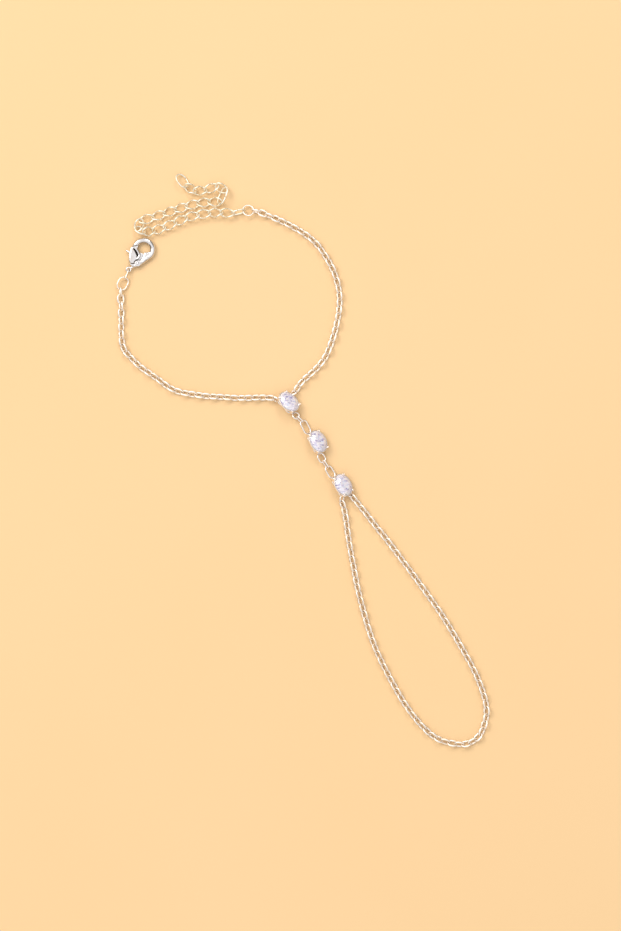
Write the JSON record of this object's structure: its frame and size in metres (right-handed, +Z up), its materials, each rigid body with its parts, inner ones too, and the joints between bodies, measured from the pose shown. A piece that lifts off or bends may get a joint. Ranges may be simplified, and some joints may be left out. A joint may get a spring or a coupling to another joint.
{
  "type": "hand chain bracelet",
  "caption": "Fine cable-chain hand bracelet: wrist chain with lobster clasp and long extender, claw-set oval stones along the hand, and a chain loop for the middle finger.",
  "frame": {"origin": "middle of the laid-out bracelet's bounding box, at the surface it lies on", "axes": "+Z up, out of the surface; +Y from the finger loop towards the extender; +X from the clasp towards the finger loop's tip"},
  "size_m": [0.1119, 0.1722, 0.0046],
  "materials": {
    "fine_chain": "bright silver plate on drawn brass wire",
    "extender_links": "bright silver plate, slightly duller and yellower",
    "jump_rings": "bright silver plate on drawn brass wire",
    "cast_clasp": "silver plate on polished cast zinc alloy",
    "claw_settings": "silver plate on polished cast brass",
    "cut_stones": "faceted pale lavender-blue crystal"
  },
  "bodies": {
    "bracelet": {"wrist_chain_left": "fine_chain", "wrist_chain_right": "fine_chain", "finger_chain_left": "fine_chain", "finger_chain_right": "fine_chain", "extender_chain": "extender_links", "extender_end_link": "extender_links", "extender_jump_ring": "jump_rings", "clasp_body": "cast_clasp", "clasp_pin": "cast_clasp", "clasp_link": "jump_rings", "clasp_jump_ring": "jump_rings", "upper_setting": "claw_settings", "middle_setting": "claw_settings", "lower_setting": "claw_settings", "upper_stone": "cut_stones", "middle_stone": "cut_stones", "lower_stone": "cut_stones", "upper_connector": "claw_settings", "lower_connector": "claw_settings"},
    "lever": {"clasp_lever": "cast_clasp"}
  },
  "joints": [
    {"name": "lever_press", "type": "hinge", "parent": "bracelet", "child": "lever", "pos_m": [-0.04942, 0.0588, 0.00101], "axis": [0, 0, -1], "range_deg": [0, 16], "stiffness_Nm_per_rad": 0.01}
  ]
}
